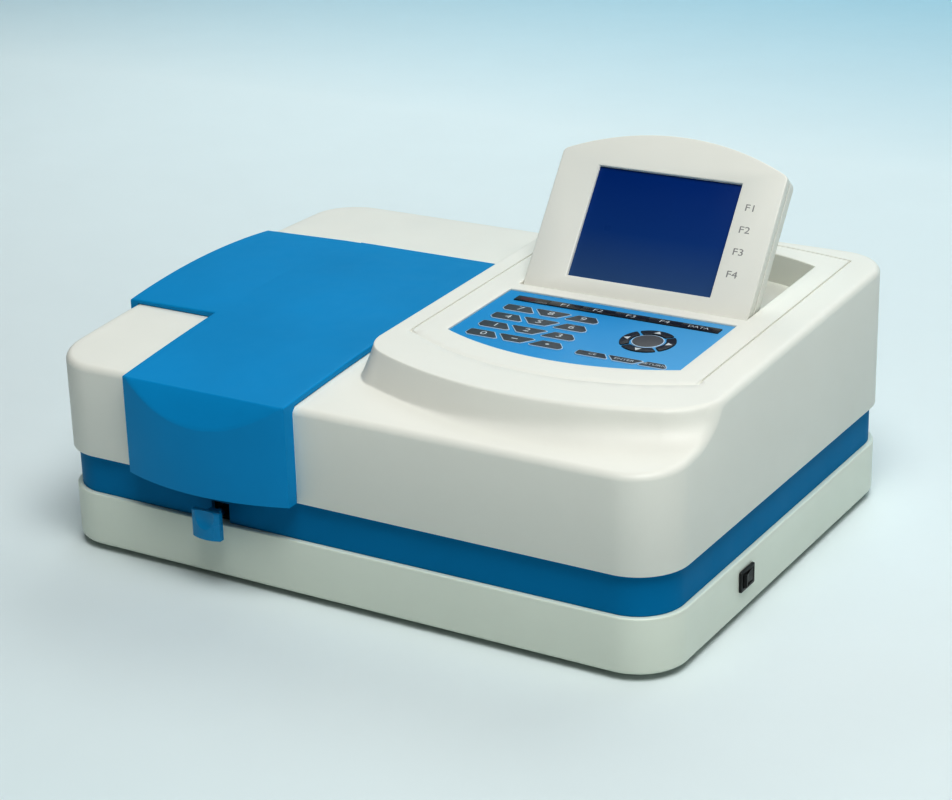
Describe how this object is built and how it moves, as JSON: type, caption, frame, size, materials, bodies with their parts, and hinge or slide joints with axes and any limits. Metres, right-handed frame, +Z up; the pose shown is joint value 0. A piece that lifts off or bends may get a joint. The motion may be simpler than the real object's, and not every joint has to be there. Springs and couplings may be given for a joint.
{
  "type": "spectrophotometer",
  "caption": "Benchtop laboratory spectrophotometer with a hinged L-shaped sample lid, tilting screen, keypad and pull-rod cell changer.",
  "frame": {"origin": "centre of the bounding box in plan, on the plane that the four feet stand on", "axes": "+X to the user's right along the long side, +Y from the front (keypad and lid side) to the back, +Z up"},
  "size_m": [0.4876, 0.3928, 0.2686],
  "materials": {
    "casing_white": "fine-grained warm white moulded casing",
    "tray_white": "off-white moulded tray, slightly greener than the casing",
    "lid_blue": "satin blue moulding",
    "membrane_blue": "printed blue membrane",
    "key_grey": "dark grey key with a pale outline",
    "black_plastic": "black moulded plastic",
    "screen": "unlit blue liquid crystal screen",
    "rubber": "black rubber",
    "steel": "bright steel",
    "aluminium": "plain aluminium",
    "black_metal": "matt black anodised or painted metal",
    "glass": "clear glass",
    "circuit_board": "green circuit board"
  },
  "bodies": {
    "housing": {"base_tray": "tray_white", "band_frame": "lid_blue", "upper_casing": "casing_white", "foot_front_left": "rubber", "foot_front_right": "rubber", "foot_back_left": "rubber", "foot_back_right": "rubber", "lid_hinge_rod": "steel", "sample_tub": "black_metal", "keypad_panel": "membrane_blue", "keypad_board": "circuit_board", "display_hinge_rod": "steel", "switch_body": "black_plastic", "power_inlet": "black_plastic", "main_board": "circuit_board", "power_supply": "aluminium", "fan_frame": "black_plastic", "optical_bench": "aluminium", "lamp_house": "aluminium", "deuterium_lamp": "glass", "tungsten_lamp": "glass", "monochromator": "black_metal", "detector": "black_metal"},
    "lid": {"sample_lid": "lid_blue", "light_baffle": "black_plastic"},
    "display": {"display_bezel": "casing_white", "display_back": "casing_white", "lcd_panel": "screen"},
    "cell_changer": {"cell_carriage": "black_metal", "sample_cuvette": "glass", "pull_rod": "steel", "pull_knob": "lid_blue"},
    "rocker": {"switch_rocker": "black_plastic"},
    "fan": {"fan_rotor": "black_plastic"},
    "grating": {"grating_turntable": "black_metal"},
    "key_7_body": {"key_7": "key_grey"},
    "key_8_body": {"key_8": "key_grey"},
    "key_9_body": {"key_9": "key_grey"},
    "key_4_body": {"key_4": "key_grey"},
    "key_5_body": {"key_5": "key_grey"},
    "key_6_body": {"key_6": "key_grey"},
    "key_1_body": {"key_1": "key_grey"},
    "key_2_body": {"key_2": "key_grey"},
    "key_3_body": {"key_3": "key_grey"},
    "key_0_body": {"key_0": "key_grey"},
    "key_minus_body": {"key_minus": "key_grey"},
    "key_point_body": {"key_point": "key_grey"},
    "key_clear_body": {"key_clear": "key_grey"},
    "key_enter_body": {"key_enter": "key_grey"},
    "key_return_body": {"key_return": "key_grey"},
    "arrow_right_body": {"arrow_right": "key_grey"},
    "arrow_up_body": {"arrow_up": "key_grey"},
    "arrow_left_body": {"arrow_left": "key_grey"},
    "arrow_down_body": {"arrow_down": "key_grey"},
    "centre_key_body": {"centre_key": "key_grey"},
    "soft_key_1_body": {"soft_key_1": "key_grey"},
    "soft_key_2_body": {"soft_key_2": "key_grey"},
    "soft_key_3_body": {"soft_key_3": "key_grey"},
    "soft_key_4_body": {"soft_key_4": "key_grey"},
    "data_key_body": {"data_key": "key_grey"}
  },
  "joints": [
    {"name": "lid_hinge", "type": "hinge", "parent": "housing", "child": "lid", "pos_m": [-0.09626, 0.0976, 0.1557], "axis": [-1, 0, 0], "range_deg": [0, 80]},
    {"name": "display_tilt", "type": "hinge", "parent": "housing", "child": "display", "pos_m": [0.10804, 0.04523, 0.16285], "axis": [1, 0, 0], "range_deg": [-51, 20]},
    {"name": "cell_slide", "type": "slide", "parent": "housing", "child": "cell_changer", "axis": [0, -1, 0], "range_m": [0, 0.054]},
    {"name": "power_rocker", "type": "hinge", "parent": "housing", "child": "rocker", "pos_m": [0.23674, -0.0544, 0.028], "axis": [0, 0, 1], "range_deg": [-18, 0]},
    {"name": "fan_spin", "type": "hinge", "parent": "housing", "child": "fan", "pos_m": [-0.17176, 0.1831, 0.1115], "axis": [0, 1, 0], "continuous": true},
    {"name": "grating_turn", "type": "hinge", "parent": "housing", "child": "grating", "pos_m": [0.04024, 0.0896, 0.0277], "axis": [0, 0, 1], "range_deg": [-30, 30]},
    {"name": "key_7_press", "type": "slide", "parent": "housing", "child": "key_7_body", "axis": [0, 0.038, -0.9993], "range_m": [0, 0.0005], "stiffness_N_per_m": 1200},
    {"name": "key_8_press", "type": "slide", "parent": "housing", "child": "key_8_body", "axis": [0, 0.038, -0.9993], "range_m": [0, 0.0005], "stiffness_N_per_m": 1200},
    {"name": "key_9_press", "type": "slide", "parent": "housing", "child": "key_9_body", "axis": [0, 0.038, -0.9993], "range_m": [0, 0.0005], "stiffness_N_per_m": 1200},
    {"name": "key_4_press", "type": "slide", "parent": "housing", "child": "key_4_body", "axis": [0, 0.038, -0.9993], "range_m": [0, 0.0005], "stiffness_N_per_m": 1200},
    {"name": "key_5_press", "type": "slide", "parent": "housing", "child": "key_5_body", "axis": [0, 0.038, -0.9993], "range_m": [0, 0.0005], "stiffness_N_per_m": 1200},
    {"name": "key_6_press", "type": "slide", "parent": "housing", "child": "key_6_body", "axis": [0, 0.038, -0.9993], "range_m": [0, 0.0005], "stiffness_N_per_m": 1200},
    {"name": "key_1_press", "type": "slide", "parent": "housing", "child": "key_1_body", "axis": [0, 0.038, -0.9993], "range_m": [0, 0.0005], "stiffness_N_per_m": 1200},
    {"name": "key_2_press", "type": "slide", "parent": "housing", "child": "key_2_body", "axis": [0, 0.038, -0.9993], "range_m": [0, 0.0005], "stiffness_N_per_m": 1200},
    {"name": "key_3_press", "type": "slide", "parent": "housing", "child": "key_3_body", "axis": [0, 0.038, -0.9993], "range_m": [0, 0.0005], "stiffness_N_per_m": 1200},
    {"name": "key_0_press", "type": "slide", "parent": "housing", "child": "key_0_body", "axis": [0, 0.038, -0.9993], "range_m": [0, 0.0005], "stiffness_N_per_m": 1200},
    {"name": "key_minus_press", "type": "slide", "parent": "housing", "child": "key_minus_body", "axis": [0, 0.038, -0.9993], "range_m": [0, 0.0005], "stiffness_N_per_m": 1200},
    {"name": "key_point_press", "type": "slide", "parent": "housing", "child": "key_point_body", "axis": [0, 0.038, -0.9993], "range_m": [0, 0.0005], "stiffness_N_per_m": 1200},
    {"name": "key_clear_press", "type": "slide", "parent": "housing", "child": "key_clear_body", "axis": [0, 0.038, -0.9993], "range_m": [0, 0.0005], "stiffness_N_per_m": 1200},
    {"name": "key_enter_press", "type": "slide", "parent": "housing", "child": "key_enter_body", "axis": [0, 0.038, -0.9993], "range_m": [0, 0.0005], "stiffness_N_per_m": 1200},
    {"name": "key_return_press", "type": "slide", "parent": "housing", "child": "key_return_body", "axis": [0, 0.038, -0.9993], "range_m": [0, 0.0005], "stiffness_N_per_m": 1200},
    {"name": "arrow_right_press", "type": "slide", "parent": "housing", "child": "arrow_right_body", "axis": [0, 0.038, -0.9993], "range_m": [0, 0.0005], "stiffness_N_per_m": 1200},
    {"name": "arrow_up_press", "type": "slide", "parent": "housing", "child": "arrow_up_body", "axis": [0, 0.038, -0.9993], "range_m": [0, 0.0005], "stiffness_N_per_m": 1200},
    {"name": "arrow_left_press", "type": "slide", "parent": "housing", "child": "arrow_left_body", "axis": [0, 0.038, -0.9993], "range_m": [0, 0.0005], "stiffness_N_per_m": 1200},
    {"name": "arrow_down_press", "type": "slide", "parent": "housing", "child": "arrow_down_body", "axis": [0, 0.038, -0.9993], "range_m": [0, 0.0005], "stiffness_N_per_m": 1200},
    {"name": "centre_key_press", "type": "slide", "parent": "housing", "child": "centre_key_body", "axis": [0, 0.038, -0.9993], "range_m": [0, 0.0005], "stiffness_N_per_m": 1200},
    {"name": "soft_key_1_press", "type": "slide", "parent": "housing", "child": "soft_key_1_body", "axis": [0, 0.038, -0.9993], "range_m": [0, 0.0005], "stiffness_N_per_m": 1200},
    {"name": "soft_key_2_press", "type": "slide", "parent": "housing", "child": "soft_key_2_body", "axis": [0, 0.038, -0.9993], "range_m": [0, 0.0005], "stiffness_N_per_m": 1200},
    {"name": "soft_key_3_press", "type": "slide", "parent": "housing", "child": "soft_key_3_body", "axis": [0, 0.038, -0.9993], "range_m": [0, 0.0005], "stiffness_N_per_m": 1200},
    {"name": "soft_key_4_press", "type": "slide", "parent": "housing", "child": "soft_key_4_body", "axis": [0, 0.038, -0.9993], "range_m": [0, 0.0005], "stiffness_N_per_m": 1200},
    {"name": "data_key_press", "type": "slide", "parent": "housing", "child": "data_key_body", "axis": [0, 0.038, -0.9993], "range_m": [0, 0.0005], "stiffness_N_per_m": 1200}
  ]
}
